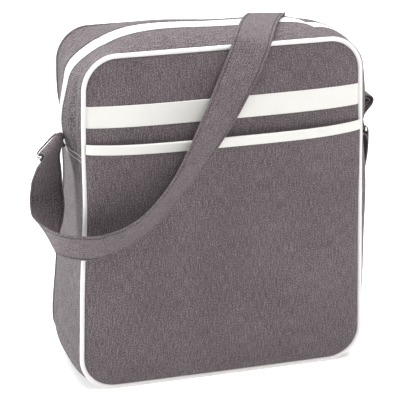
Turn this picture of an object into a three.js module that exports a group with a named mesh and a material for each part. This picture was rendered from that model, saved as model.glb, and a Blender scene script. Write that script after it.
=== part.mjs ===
// Zipped canvas shoulder bag standing on its flat bottom.
// Millimetres; X to the right seen from the front, the front faces -Y, Z up, origin mid bottom.
import * as THREE from 'three';

// Seam outline of the two large faces
const seamWidth = 317;
const seamHeight = 379;
const seamBottom = 2.9;
const depth = 128;
const topRadius = 36;
const bottomRadius = 38;
const widthTaper = 0.068;

// Cloth, welts and fits
const clothThick = 1.7;
const panelThick = 1.6;
const weltRadius = 2.6;
const backWeltRadius = 1.5;
const fit = 0.35;
const sewnGap = 0.5;

// Soft form
const frontCrown = 13;
const backCrown = 8;
const topArch = 10.6;
const archLean = { left: 5.3, right: 1.2 };
const archEnd = { left: 4, right: 8 };
const cornerDip = { left: 5.2, right: -1.5 };
const backSag = 9.5;
const heelSwell = 8;
const waistHeight = 214;
const waistSpread = 55;
const toeHeight = 48;
const toeSpread = 45;
const tuckHeight = 278;
const tuckSpread = 28;
const tuckDepth = 4;
const flankSwell = [
  // side, height, spread in height, rise, depth place, spread in depth
  [1, 352, 30, 9, 0, 200], [1, 310, 42, 10, 0, 200], [1, 172, 78, 16, 0, 200],
  [1, 308, 28, 2.6, -46, 16], [1, 240, 62, 9, -46, 16], [1, 72, 62, 11, -46, 16],
  [-1, 300, 46, 13.2, -8, 34], [-1, 92, 60, 3, 0, 200]];

// Trim on the front
const stripeLow = 306.5;
const stripeHigh = 330;
const stripeThick = 0.9;
const pocketTop = 287.8;
const bindingLow = 278.6;
const bindingHigh = 289.1;
const bindingThick = 0.8;
const mouthSideGap = 1.9;
const mouthGape = 5;
const mouthFade = 150;

// Zip and the cross seam where the zip strips meet the lower gusset
const crossSeam = 272.4;
const zipHalf = 14;
const coilHalf = 2.6;
const tapeThick = 0.8;
const tapeSink = 0.5;
const sliderRun = 44;

// Strap and its hardware
const strapWidth = 40;
const strapThick = 2.2;
const strapTail = 13;
const strapWire = 1.6;
const leftTabWidth = 3.6;
const rightTabWidth = 20;
const tabThick = 1.6;

const half = seamWidth / 2;
const runBottom = half - bottomRadius;
const runLowCorner = bottomRadius * Math.PI / 2;
const runSide = seamHeight - topRadius - bottomRadius;
const runTopCorner = topRadius * Math.PI / 2;
const runTop = half - topRadius;
const runHalf = runBottom + runLowCorner + runSide + runTopCorner + runTop;
const runAtCross = runBottom + runLowCorner + crossSeam - seamBottom - bottomRadius;

const clamp = (v, lo, hi) => Math.min(hi, Math.max(lo, v));
const bump = (z, centre, spread) => Math.exp(-(((z - centre) / spread) ** 2));
const ease = (v) => { const c = clamp(v, 0, 1); return c * c * (3 - 2 * c); };
const vec = (x, y, z) => new THREE.Vector3(x, y, z);

// Point of the seam outline at a run from mid bottom, with its outward direction, for one side
function rim(run) {
  const low = clamp((run - runBottom) / bottomRadius, 0, Math.PI / 2);
  const high = clamp((run - runBottom - runLowCorner - runSide) / topRadius, 0, Math.PI / 2);
  const x = Math.min(run, runBottom) + bottomRadius * Math.sin(low) + topRadius * (Math.cos(high) - 1)
    - clamp(run - (runHalf - runTop), 0, runTop);
  const z = seamBottom + bottomRadius * (1 - Math.cos(low))
    + clamp(run - runBottom - runLowCorner, 0, runSide) + topRadius * Math.sin(high);
  const turn = low + high - Math.PI / 2;
  return { x, z, nx: Math.cos(turn), nz: Math.sin(turn) };
}

// Width falls towards the top, and the left side is drawn in at mid height, more at the back
function sideways(x, z, sign, v) {
  const level = (z - seamBottom) / seamHeight;
  const waist = bump(z, waistHeight, waistSpread) * (2.5 + 2.75 * (v + 1));
  const tuck = tuckDepth * bump(z, tuckHeight, tuckSpread) * ((v + 1) / 2) ** 2;
  const toe = 2 * (v + 1) * bump(z, toeHeight, toeSpread);
  const drawn = sign < 0 ? toe - waist - tuck : 0;
  return x * (1 + widthTaper * (0.5 - level)) + drawn * clamp(x / half, 0, 1);
}

// The back sinks under the strap at its top right
function sag(x, z, v) {
  return backSag * ease((x + 50) / 90) * ease((z - 260) / 110) * ((v + 1) / 2) ** 5;
}

// Gusset skin: the seam outline carried from front to back with its bulge
// lift is along the outline's normal
function skin(run, sign, y, lift = 0) {
  const v = y / (depth / 2);
  const p = rim(run);
  const up = Math.max(p.nz, 0);
  const down = Math.max(-p.nz, 0);
  const along = sign * clamp(p.x / runTop, 0, 1);
  const side = sign < 0 ? 'left' : 'right';
  const arch = up > 0.999 ? (topArch - archLean[side] * along) * (1 - Math.abs(along) ** archEnd[side]) : 0;
  const dip = p.nx > 0.001 ? -cornerDip[side] * Math.sin(2 * Math.asin(up)) * up : 0;
  const bulge = flankSwell.filter(([way]) => way === sign)
    .reduce((sum, [, height, spread, rise, at, wide]) =>
      sum + rise * bump(p.z, height, spread) * bump(y, at, wide), 0);
  const flank = Math.max(p.nx, 0) ** 2 * bulge;
  const rest = seamBottom * down ** 2;
  const swell = (arch + dip) * (1 - Math.abs(v) ** 2.2) + flank * (1 - v ** 4)
    + rest * Math.min(1, 1.6 * (1 - v ** 4)) + lift;
  const heel = sign < 0 ? heelSwell * Math.sin(2 * Math.asin(down)) * (1 - v ** 4) : 0;
  const x = sign * (sideways(p.x, p.z, sign, v) + p.nx * swell + heel);
  return vec(x, y, p.z + p.nz * swell - sag(sign * p.x, p.z, v));
}

// Closed shell between an outer and an inner grid of points
function shell(rows, cols, outer, inner) {
  const index = [];
  const points = [];
  const id = (side, r, c) => side * (rows + 1) * (cols + 1) + r * (cols + 1) + c;
  for (const face of [outer, inner]) {
    for (let r = 0; r <= rows; r++) {
      for (let c = 0; c <= cols; c++) points.push(face(r, c));
    }
  }
  const quad = (a, b, c, d) => index.push(a, b, c, a, c, d);
  for (let r = 0; r < rows; r++) {
    for (let c = 0; c < cols; c++) {
      quad(id(0, r, c), id(0, r, c + 1), id(0, r + 1, c + 1), id(0, r + 1, c));
      quad(id(1, r, c), id(1, r + 1, c), id(1, r + 1, c + 1), id(1, r, c + 1));
    }
  }
  for (let c = 0; c < cols; c++) {
    quad(id(0, 0, c), id(1, 0, c), id(1, 0, c + 1), id(0, 0, c + 1));
    quad(id(0, rows, c), id(0, rows, c + 1), id(1, rows, c + 1), id(1, rows, c));
  }
  for (let r = 0; r < rows; r++) {
    quad(id(0, r, 0), id(0, r + 1, 0), id(1, r + 1, 0), id(1, r, 0));
    quad(id(0, r, cols), id(1, r, cols), id(1, r + 1, cols), id(0, r + 1, cols));
  }
  return solid(points, index);
}

// Sections joined in a row; open rows get caps laid out from the flat section
function sweep(sections, closed, flat) {
  const count = sections[0].length;
  const points = sections.flat();
  const index = [];
  const last = closed ? sections.length : sections.length - 1;
  for (let s = 0; s < last; s++) {
    const t = (s + 1) % sections.length;
    for (let k = 0; k < count; k++) {
      const j = (k + 1) % count;
      const [a, b, c, d] = [s * count + k, s * count + j, t * count + j, t * count + k];
      index.push(a, b, c, a, c, d);
    }
  }
  if (!closed) {
    const lids = THREE.ShapeUtils.triangulateShape(flat.map(([x, y]) => new THREE.Vector2(x, y)), []);
    const end = (sections.length - 1) * count;
    const turned = THREE.ShapeUtils.area(flat.map(([x, y]) => new THREE.Vector2(x, y))) > 0;
    for (const [a, b, c] of lids) {
      const [p, q, r] = turned ? [a, b, c] : [a, c, b];
      index.push(p, r, q, end + p, end + q, end + r);
    }
  }
  return solid(points, index);
}

// Geometry with its faces outwards
function solid(points, index) {
  let volume = 0;
  for (let i = 0; i < index.length; i += 3) {
    const [a, b, c] = [points[index[i]], points[index[i + 1]], points[index[i + 2]]];
    volume += a.dot(vec(0, 0, 0).crossVectors(b, c));
  }
  if (volume < 0) {
    for (let i = 0; i < index.length; i += 3) [index[i + 1], index[i + 2]] = [index[i + 2], index[i + 1]];
  }
  const geometry = new THREE.BufferGeometry();
  const numbers = points.flatMap((p) => [p.x, p.y, p.z]);
  geometry.setAttribute('position', new THREE.Float32BufferAttribute(numbers, 3));
  geometry.setIndex(index);
  geometry.computeVertexNormals();
  return geometry;
}

// Even steps between marks, each stretch with its own count
function steps(marks, counts) {
  const list = [marks[0]];
  for (let i = 0; i < counts.length; i++) {
    for (let k = 1; k <= counts[i]; k++) list.push(marks[i] + (marks[i + 1] - marks[i]) * k / counts[i]);
  }
  return list;
}

// Half width and height of a face's row at a run up the side, drawn in from the seam
function row(run, inset) {
  const p = rim(run);
  return { x: p.x - p.nx * inset, z: p.z - p.nz * inset };
}
const runAtHeight = (z) => runBottom + runLowCorner + z - seamBottom - bottomRadius;

// Crown of a face: full in the middle, nothing along the seam
function crown(share, z, rise) {
  const level = clamp((z - seamBottom) / seamHeight, 0, 1);
  return rise * (1 - Math.abs(share) ** 4) * (1 - Math.abs(2 * level - 1) ** 4);
}
function faceX(share, r, v) {
  const sign = share < 0 ? -1 : 1;
  return sign * sideways(Math.abs(share) * r.x, r.z, sign, v);
}
function frontPoint(share, r, out) {
  return vec(faceX(share, r, -1), -depth / 2 - crown(share, r.z, frontCrown) - out, r.z);
}

const faceRuns = steps(
  [runBottom, runBottom + runLowCorner, runBottom + runLowCorner + runSide, runHalf - runTop], [5, 9, 5]);
const faceShares = steps([-1, -0.8, 0.8, 1], [3, 10, 3]);
const inset = weltRadius + fit;

function frontPanel() {
  return shell(faceRuns.length - 1, faceShares.length - 1,
    (r, c) => frontPoint(faceShares[c], row(faceRuns[r], inset), panelThick / 2),
    (r, c) => frontPoint(faceShares[c], row(faceRuns[r], inset), -panelThick / 2));
}

function backPanel() {
  const at = (r, c, out) => {
    const q = row(faceRuns[r], backWeltRadius + 2 * fit);
    const y = depth / 2 + crown(faceShares[c], q.z, backCrown) + out;
    return vec(faceX(faceShares[c], q, 1), y, q.z - sag(faceShares[c] * q.x, q.z, 1));
  };
  return shell(faceRuns.length - 1, faceShares.length - 1,
    (r, c) => at(r, c, panelThick / 2), (r, c) => at(r, c, -panelThick / 2));
}

function frontStripe() {
  const rows = [stripeLow, (stripeLow + stripeHigh) / 2, stripeHigh].map(runAtHeight);
  const base = panelThick / 2 + sewnGap;
  return shell(2, faceShares.length - 1,
    (r, c) => frontPoint(faceShares[c], row(rows[r], inset), base + stripeThick),
    (r, c) => frontPoint(faceShares[c], row(rows[r], inset), base));
}

// Space between the front panel and the pocket, widest mid mouth
function pocketGap(share, z) {
  const rise = ease((z - mouthFade) / (pocketTop - mouthFade));
  return fit + (mouthSideGap + mouthGape * (1 - Math.abs(share) ** 4)) * rise;
}
function pocketPoint(share, r, out) {
  return frontPoint(share, r, panelThick / 2 + pocketGap(share, r.z) + out);
}

function frontPocket() {
  const runs = steps(
    [runBottom, runBottom + runLowCorner, runAtHeight(mouthFade), runAtHeight(pocketTop)], [5, 3, 6]);
  return shell(runs.length - 1, faceShares.length - 1,
    (r, c) => pocketPoint(faceShares[c], row(runs[r], inset), panelThick),
    (r, c) => pocketPoint(faceShares[c], row(runs[r], inset), 0));
}

// Tape folded over the mouth: a deep channel hung on the pocket's top edge
function pocketBinding() {
  const outFace = panelThick + sewnGap;
  const level = (z) => row(runAtHeight(z), inset);
  const profile = [
    [outFace + bindingThick, bindingLow], [outFace + bindingThick, bindingHigh],
    [-sewnGap - bindingThick, bindingHigh], [-sewnGap - bindingThick, bindingLow],
    [-sewnGap, bindingLow], [-sewnGap, pocketTop + fit], [outFace, pocketTop + fit], [outFace, bindingLow]];
  const sections = faceShares.map((share) => profile.map(([out, z]) => pocketPoint(share, level(z), out)));
  return sweep(sections, false, profile);
}

// Welt: a round cord cover running in the seam right round a face
function welt(y, radius) {
  const sides = 6;
  const runs = steps([0, runBottom, runBottom + runLowCorner, runBottom + runLowCorner + runSide,
    runHalf - runTop, runHalf], [4, 6, 8, 6, 4]);
  const loop = [...runs.map((run) => [run, 1]), ...runs.slice(1, -1).reverse().map((run) => [run, -1])];
  const sections = loop.map(([run, sign]) => {
    const p = rim(run);
    const v = y / (depth / 2);
    const ring = [];
    for (let k = 0; k < sides; k++) {
      const a = (k + 0.5) / sides * 2 * Math.PI;
      const out = radius * Math.cos(a);
      const x = sign * (sideways(p.x, p.z, sign, v) + p.nx * out);
      ring.push(vec(x, y + radius * Math.sin(a), p.z + p.nz * out - sag(sign * p.x, p.z, v)));
    }
    return ring;
  });
  return sweep(sections, true);
}

const lowRuns = steps([0, runBottom, runBottom + runLowCorner, runAtCross], [3, 6, 8]);
const highRuns = steps(
  [runHalf, runHalf - runTop, runHalf - runTop - runTopCorner, runAtCross + fit], [5, 6, 4]);
const wholeLoop = (runs) => {
  const left = runs.slice(1).reverse().map((run) => [run, -1]);
  return [...left, ...runs.map((run) => [run, 1])];
};
const frontEdge = -depth / 2 + weltRadius + fit;
const backEdge = depth / 2 - backWeltRadius - fit;

// A strip of the gusset between two depths, with the given lift and thickness
function gussetStrip(runs, ys, lift, thick) {
  const loop = wholeLoop(runs);
  return shell(loop.length - 1, ys.length - 1,
    (r, c) => skin(loop[r][0], loop[r][1], ys[c], lift),
    (r, c) => skin(loop[r][0], loop[r][1], ys[c], lift - thick));
}

function zipCoil() {
  const profile = [
    // y, lift
    [-coilHalf, -1.4], [coilHalf, -1.4], [coilHalf, -0.2],
    [coilHalf * 0.5, 0.7], [-coilHalf * 0.5, 0.7], [-coilHalf, -0.2]];
  const sections = wholeLoop(highRuns).map(
    ([run, sign]) => profile.map(([y, lift]) => skin(run, sign, y, lift)));
  return sweep(sections, false, profile);
}

// Slider with its pull lying flat, parked at the right hand end of the zip
function zipSlider() {
  const rise = [
    // along, half width, top
    [-6, 5, 3.2], [-4, 5, 4.6], [5, 4.4, 4.6], [6, 3.4, 3.0], [6.4, 3, 2.6], [30, 3.6, 2.6], [32, 2.4, 2.4]];
  const start = runAtCross + sliderRun;
  const sections = rise.map(([along, wide, top]) => {
    const foot = along > 6 ? 1.5 : 1.05;
    const corners = [[-wide, foot], [wide, foot], [wide, top], [-wide, top]];
    return corners.map(([y, lift]) => skin(start + along, 1, y, lift));
  });
  return sweep(sections, false, [[-1, 0], [1, 0], [1, 1], [-1, 1]]);
}

// Flat band along stations of centre and width direction
function band(stations, width, thick) {
  const sections = stations.map((s, i) => {
    const before = stations[Math.max(i - 1, 0)].at;
    const after = stations[Math.min(i + 1, stations.length - 1)].at;
    const ahead = after.clone().sub(before).normalize();
    const across = s.across.clone().addScaledVector(ahead, -s.across.dot(ahead)).normalize();
    const out = vec(0, 0, 0).crossVectors(ahead, across);
    return [[-1, -1], [1, -1], [1, 1], [-1, 1]].map(([a, b]) => s.at.clone()
      .addScaledVector(across, a * width / 2).addScaledVector(out, b * thick / 2));
  });
  return sweep(sections, false, [[-1, -1], [1, -1], [1, 1], [-1, 1]]);
}

// Turn of a band round a bar: a stitched down tail, the half turn, then away along the way given
function barTurn(centre, across, away, face, radius, tail) {
  const list = [];
  const put = (along, side) => list.push({
    at: centre.clone().addScaledVector(away, along).addScaledVector(face, side), across: across.clone() });
  put(tail, radius - strapThick - 0.4);
  put(tail * 0.55, radius - strapThick - 0.8);
  put(tail * 0.25, -radius * 0.75);
  for (let k = 0; k <= 6; k++) {
    const a = k / 6 * Math.PI;
    put(-radius * Math.sin(a), -radius * Math.cos(a));
  }
  return list;
}

// Ring places: bar centre, bar direction, bow direction and depth, how far each end goes and how square it is
const leftRing = {
  at: vec(-184.8, -33, 278.8), along: vec(0.64, 0.73, 0.24).normalize(), bow: vec(-0.78, 0.62, 0.06),
  bowDepth: 8.5, low: -22.7, high: 27.2, lowBend: 0.5, highBend: 0.45 };
const rightRing = {
  at: vec(180, -2, 260.5), along: vec(0.03, 0.99, 0).normalize(), bow: vec(-0.2, 0, 0.98),
  bowDepth: 11, low: -22.6, high: 22.6, lowBend: 0.8, highBend: 0.8 };
for (const ring of [leftRing, rightRing]) {
  ring.bow.addScaledVector(ring.along, -ring.bow.dot(ring.along)).normalize();
}

// Route of the strap between its two ends: centre, then direction from the outer to the inner edge
const strapRoute = [
  // x, y, z, across x, across y, across z
  [-185.7, -22, 257.2, 0.72, 0.69, -0.09],
  [-186, -15, 240.6, 0.89, 0.45, -0.06],
  [-185.8, -10, 222, 0.955, 0.28, -0.09],
  [-186.4, -15, 206, 0.91, -0.06, -0.38],
  [-191.7, -33, 190.8, 0.63, -0.18, -0.75],
  [-193.5, -54, 183.2, 0.42, 0.07, -0.90],
  [-184, -74, 181.8, 0.30, 0.38, -0.87],
  [-163, -87, 180.5, 0.16, 0.46, -0.88],
  [-144.6, -93.4, 182.8, 0.22, 0.50, -0.82],
  [-118.5, -95, 191, 0.40, 0.58, -0.71],
  [-91.5, -96.9, 209, 0.47, 0.65, -0.60],
  [-60.5, -100.3, 246, 0.55, 0.64, -0.54],
  [-37.3, -99.5, 280.1, 0.695, 0.45, -0.56],
  [-17.9, -95, 311.2, 0.82, 0.25, -0.51],
  [0.5, -85.3, 338, 0.88, 0.03, -0.475],
  [19.5, -78, 372.6, 0.89, -0.20, -0.41],
  [27, -71.5, 385.5, 0.93, -0.22, -0.27],
  [36.5, -54, 391.7, 0.96, -0.25, -0.14],
  [49, -27, 393.9, 0.95, -0.30, -0.08],
  [62.5, 0, 394.2, 0.94, -0.33, -0.04],
  [76.5, 26, 390.7, 0.95, -0.30, 0.00],
  [85.5, 48, 384.3, 0.96, -0.24, 0.04],
  [91.5, 65, 377.4, 0.98, -0.15, 0.08],
  [95.5, 76.5, 365.5, 0.99, -0.05, 0.08],
  [97.5, 81, 345, 0.99, 0.00, 0.10],
  [99.5, 85, 312, 0.99, 0.00, 0.11],
  [104, 89, 276, 0.99, 0.00, 0.14],
  [110, 92, 242, 0.97, 0.00, 0.22],
  [118, 93, 215, 0.90, 0.04, 0.42],
  [129, 93, 194, 0.76, 0.08, 0.64],
  [143, 90, 180, 0.52, 0.10, 0.85],
  [158, 83.5, 173, 0.22, 0.12, 0.96],
  [172, 71, 171, 0.02, 0.08, 1.00],
  [180, 52, 175, -0.04, 0.26, 0.96],
  [182, 32, 185, -0.05, 0.50, 0.86],
  [182.5, 15, 201, -0.05, 0.75, 0.65],
  [183, 4, 221, -0.04, 0.93, 0.35],
  [184, -1, 241, 0.00, 0.99, 0.10]];

function strap() {
  const turn = strapWire + 2.5 * fit + strapThick / 2;
  const ends = [[leftRing, 0], [rightRing, strapRoute.length - 1]].map(([bar, first]) => {
    const target = vec(...strapRoute[first].slice(0, 3));
    const away = target.clone().sub(bar.at);
    away.addScaledVector(bar.along, -away.dot(bar.along)).normalize();
    const face = vec(0, 0, 0).crossVectors(bar.along, away).normalize();
    if (face.y > 0) face.negate();
    return barTurn(bar.at, bar.along, away, face, turn, strapTail);
  });
  for (const s of ends[1]) s.across.copy(rightRing.along);
  const middle = strapRoute.map(
    ([x, y, z, a, b, c]) => ({ at: vec(x, y, z), across: vec(a, b, c).normalize() }));
  const marks = [ends[0][ends[0].length - 1], ...middle, ends[1][ends[1].length - 1]];
  const path = new THREE.CatmullRomCurve3(marks.map((m) => m.at), false, 'centripetal');
  const lay = new THREE.CatmullRomCurve3(marks.map((m) => m.across), false, 'centripetal');
  const fine = [];
  const cuts = (marks.length - 1) * 3;
  for (let i = 1; i < cuts; i++) {
    const t = i / cuts;
    fine.push({ at: path.getPoint(t), across: lay.getPoint(t).normalize() });
  }
  return band([...ends[0], ...fine, ...ends[1].slice().reverse()], strapWidth, strapThick);
}

// Closed wire along a loop of points that lies in one plane
function wire(points, normal, radius, sides = 6) {
  const n = normal.clone().normalize();
  const count = points.length;
  const sections = points.map((p, i) => {
    const ahead = points[(i + 1) % count].clone().sub(points[(i + count - 1) % count]).normalize();
    const out = vec(0, 0, 0).crossVectors(ahead, n);
    const ring = [];
    for (let k = 0; k < sides; k++) {
      const a = (k + 0.5) / sides * 2 * Math.PI;
      const [up, side] = [radius * Math.cos(a), radius * Math.sin(a)];
      ring.push(p.clone().addScaledVector(out, up).addScaledVector(n, side));
    }
    return ring;
  });
  return sweep(sections, true);
}

// Ring: a straight bar for the strap with a low bow over it
const onRing = (ring, a, b) => ring.at.clone().addScaledVector(ring.along, a).addScaledVector(ring.bow, b);
function strapRing(ring) {
  const middle = (ring.high + ring.low) / 2;
  const reach = (ring.high - ring.low) / 2;
  const points = [];
  for (let k = 0; k <= 4; k++) points.push([middle + reach * (k / 2 - 1) * 0.96, 0]);
  for (let k = 0; k <= 12; k++) {
    const a = k / 12 * Math.PI;
    const bend = Math.cos(a) > 0 ? ring.highBend : ring.lowBend;
    const wide = Math.sign(Math.cos(a)) * Math.abs(Math.cos(a)) ** bend;
    points.push([middle + reach * wide, 1.8 + (ring.bowDepth - 1.8) * Math.sin(a) ** (0.3 + bend / 2)]);
  }
  const loop = points.map(([a, b]) => onRing(ring, a, b));
  return wire(loop, vec(0, 0, 0).crossVectors(ring.along, ring.bow), strapWire);
}

// Cloth tab: doubled tape that leaves the gusset along a path and turns round a wire at its end
function tab(path, across, width, slack) {
  const curve = new THREE.CatmullRomCurve3(path, false, 'centripetal');
  const radius = strapWire + slack + tabThick / 2;
  const close = tabThick / 2 + 0.2;
  const cuts = 7;
  const legs = [];
  for (let k = 0; k <= cuts; k++) {
    const t = k / cuts;
    const ahead = curve.getTangent(t);
    const side = vec(0, 0, 0).crossVectors(across, ahead).normalize();
    legs.push({ at: curve.getPoint(t), side, spread: close + (radius - close) * ease((t - 0.35) / 0.55) });
  }
  const leg = (way) => legs.map(
    (l) => ({ at: l.at.clone().addScaledVector(l.side, way * l.spread), across: across.clone() }));
  const end = legs[cuts];
  const ahead = curve.getTangent(1);
  const turn = [];
  for (let k = 1; k < 8; k++) {
    const a = k / 8 * Math.PI;
    const [side, on] = [radius * Math.cos(a), radius * Math.sin(a)];
    const at = end.at.clone().addScaledVector(end.side, side).addScaledVector(ahead, on);
    turn.push({ at, across: across.clone() });
  }
  return band([...leg(1), ...turn, ...leg(-1).reverse()], width, tabThick);
}

// The left tab is pulled straight out to the spare end of its ring's bar
// The right one arches over its ring's bow
const leftTab = [
  skin(runAtCross - 1, -1, -13, 2.6), skin(runAtCross + 5, -1, -14.5, 5.2), onRing(leftRing, 23.3, 0)];
const outward = vec(0, 0, 0).crossVectors(rightRing.along, vec(0, 0, 1)).normalize();
if (outward.x < 0) outward.negate();
const archRise = [
  // outward, up from the bar
  [-12.9, 7.5], [-12, 15.5], [-10.8, 23.5], [-7.4, 29.6], [-1.5, 33.8], [5.3, 35.3], [10.2, 32.4], [8.6, 27.4],
  [3.6, 22.1], [-0.7, 16.5]];
const rightTab = [
  ...archRise.map(([out, up]) => rightRing.at.clone().addScaledVector(outward, out).add(vec(0, 0, up))),
  onRing(rightRing, 0, rightRing.bowDepth)];

const canvas = [0.32, 0.29, 0.3];
const white = [0.93, 0.92, 0.9];
const steel = [0.75, 0.75, 0.76];
const group = new THREE.Group();
function add(name, geometry, colour, metal = 0, rough = 0.9) {
  const material = new THREE.MeshStandardMaterial(
    { color: new THREE.Color(...colour), metalness: metal, roughness: rough });
  const mesh = new THREE.Mesh(geometry, material);
  mesh.name = name;
  group.add(mesh);
}

add('front_panel', frontPanel(), canvas);
add('front_stripe', frontStripe(), white, 0, 0.6);
add('front_pocket', frontPocket(), canvas);
add('pocket_binding', pocketBinding(), white, 0, 0.6);
add('back_panel', backPanel(), canvas);
add('piping_front', welt(-depth / 2, weltRadius), white, 0, 0.6);
add('piping_back', welt(depth / 2, backWeltRadius), canvas);
add('lower_gusset', gussetStrip(lowRuns, [frontEdge, -48, -30, 0, 30, 48, backEdge], 0, clothThick), canvas);
add('top_gusset_front', gussetStrip(highRuns, [frontEdge, -46, -30, -zipHalf], 0, clothThick), canvas);
add('top_gusset_back', gussetStrip(highRuns, [zipHalf, 30, 46, backEdge], 0, clothThick), canvas);
const tapeEdges = [coilHalf + fit, zipHalf - fit];
const frontTapeEdges = [-tapeEdges[1], -tapeEdges[0]];
add('zip_tape_front', gussetStrip(highRuns, frontTapeEdges, -tapeSink, tapeThick), white, 0, 0.7);
add('zip_tape_back', gussetStrip(highRuns, tapeEdges, -tapeSink, tapeThick), white, 0, 0.7);
add('zip_coil', zipCoil(), white, 0, 0.5);
add('zip_slider', zipSlider(), steel, 1, 0.3);
add('tab_left', tab(leftTab, leftRing.along, leftTabWidth, 0.85), canvas);
add('tab_right', tab(rightTab, rightRing.along, rightTabWidth, 0.95), canvas);
add('ring_left', strapRing(leftRing), steel, 1, 0.2);
add('ring_right', strapRing(rightRing), steel, 1, 0.2);
add('strap', strap(), canvas);

export default group;
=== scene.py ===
import math

import bpy
import numpy as np
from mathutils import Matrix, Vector


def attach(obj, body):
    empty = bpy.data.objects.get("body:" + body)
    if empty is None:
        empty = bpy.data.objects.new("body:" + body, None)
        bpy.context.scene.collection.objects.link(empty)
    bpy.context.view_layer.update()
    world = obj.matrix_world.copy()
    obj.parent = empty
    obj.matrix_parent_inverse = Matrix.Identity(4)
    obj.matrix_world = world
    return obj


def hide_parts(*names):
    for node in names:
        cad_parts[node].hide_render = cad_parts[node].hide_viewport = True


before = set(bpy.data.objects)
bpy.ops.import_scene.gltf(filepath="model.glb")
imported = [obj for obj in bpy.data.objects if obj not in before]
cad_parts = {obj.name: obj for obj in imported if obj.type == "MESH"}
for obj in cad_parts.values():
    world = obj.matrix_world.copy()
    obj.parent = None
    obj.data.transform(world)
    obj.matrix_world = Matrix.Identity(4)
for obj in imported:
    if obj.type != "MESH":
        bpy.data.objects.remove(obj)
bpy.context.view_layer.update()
print("frame loaded,", len(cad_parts), "nodes")

scene = bpy.context.scene
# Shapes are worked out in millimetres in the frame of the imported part, and stored in metres
toMetres = 0.001
perMetre = 1000
# Edges that turn by more than this stay sharp
sharpTurn = math.radians(48)

bag = {
    "seamWidth": 317, "seamHeight": 379, "seamBottom": 2.9, "depth": 128,
    "topRadius": 36, "bottomRadius": 38, "taper": 0.068,
    "topArch": 10.6, "leftLean": 5.3, "rightLean": 1.2, "leftEnd": 4, "rightEnd": 8,
    "leftDip": 5.2, "rightDip": -1.5, "archPower": 2.2, "floorRush": 1.6, "heelSwell": 8,
    "backSag": 9.5, "sagLeft": -50, "sagWidth": 90, "sagFoot": 260, "sagTall": 110, "sagPower": 5,
    "waistHeight": 214, "waistSpread": 55, "waistDraw": 2.5, "waistBack": 2.75,
    "toeHeight": 48, "toeSpread": 45, "toePush": 2,
    "tuckHeight": 278, "tuckSpread": 28, "tuckDepth": 4,
    # side, height, spread in height, rise, depth place, spread in depth
    "flankSwell": [
        (1, 352, 30, 9, 0, 200), (1, 310, 42, 10, 0, 200), (1, 172, 78, 16, 0, 200),
        (1, 308, 28, 2.6, -46, 16), (1, 240, 62, 9, -46, 16), (1, 72, 62, 11, -46, 16),
        (-1, 300, 46, 13.2, -8, 34), (-1, 92, 60, 3, 0, 200),
    ],
    "clothThick": 1.7, "panelThick": 1.6,
    "crossSeam": 272.4, "zipHalf": 14,
}
half = bag["seamWidth"] / 2
deep = bag["depth"] / 2
floorSeam = bag["seamBottom"]
runBottom = half - bag["bottomRadius"]
runLowCorner = bag["bottomRadius"] * math.pi / 2
runSide = bag["seamHeight"] - bag["topRadius"] - bag["bottomRadius"]
runTop = half - bag["topRadius"]
runHalf = runBottom + runLowCorner + runSide + bag["topRadius"] * math.pi / 2 + runTop


def bump(z, centre, spread):
    # bell curve of height 1
    return np.exp(-((z - centre) / spread) ** 2)


def ease(v):
    # cubic step from 0 to 1
    c = np.clip(v, 0, 1)
    return c * c * (3 - 2 * c)


def unit(v):
    # vectors of length 1
    return v / np.linalg.norm(v, axis=-1, keepdims=True)


def runAtHeight(z):
    # run along the outline up to a height on its straight side
    return runBottom + runLowCorner + z - floorSeam - bag["bottomRadius"]


runAtCross = runAtHeight(bag["crossSeam"])


def rim(run):
    # seam outline by its run from mid bottom: a line, a quarter circle, a line, a quarter circle, a line
    rb, rt = bag["bottomRadius"], bag["topRadius"]
    low = np.clip((run - runBottom) / rb, 0, math.pi / 2)
    high = np.clip((run - runBottom - runLowCorner - runSide) / rt, 0, math.pi / 2)
    x = np.minimum(run, runBottom) + rb * np.sin(low) + rt * (np.cos(high) - 1)
    x = x - np.clip(run - (runHalf - runTop), 0, runTop)
    z = floorSeam + rb * (1 - np.cos(low)) + rt * np.sin(high)
    z = z + np.clip(run - runBottom - runLowCorner, 0, runSide)
    turn = low + high - math.pi / 2
    return x, z, np.cos(turn), np.sin(turn)


def sideways(x, z, sign, v):
    # width falls in a line with height; the left side is drawn in by a bell at mid height, more at the back
    level = (z - floorSeam) / bag["seamHeight"]
    inward = bag["waistDraw"] + bag["waistBack"] * (v + 1)
    waist = bump(z, bag["waistHeight"], bag["waistSpread"]) * inward
    tuck = bag["tuckDepth"] * bump(z, bag["tuckHeight"], bag["tuckSpread"]) * ((v + 1) / 2) ** 2
    toe = bag["toePush"] * (v + 1) * bump(z, bag["toeHeight"], bag["toeSpread"])
    drawn = np.where(sign < 0, toe - waist - tuck, 0)
    return x * (1 + bag["taper"] * (0.5 - level)) + drawn * np.clip(x / half, 0, 1)


def sag(x, z, v):
    # the back sinks under the strap at its top right: a step across, growing upwards and backwards
    across = ease((x - bag["sagLeft"]) / bag["sagWidth"])
    risen = ease((z - bag["sagFoot"]) / bag["sagTall"])
    return bag["backSag"] * across * risen * ((v + 1) / 2) ** bag["sagPower"]


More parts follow.
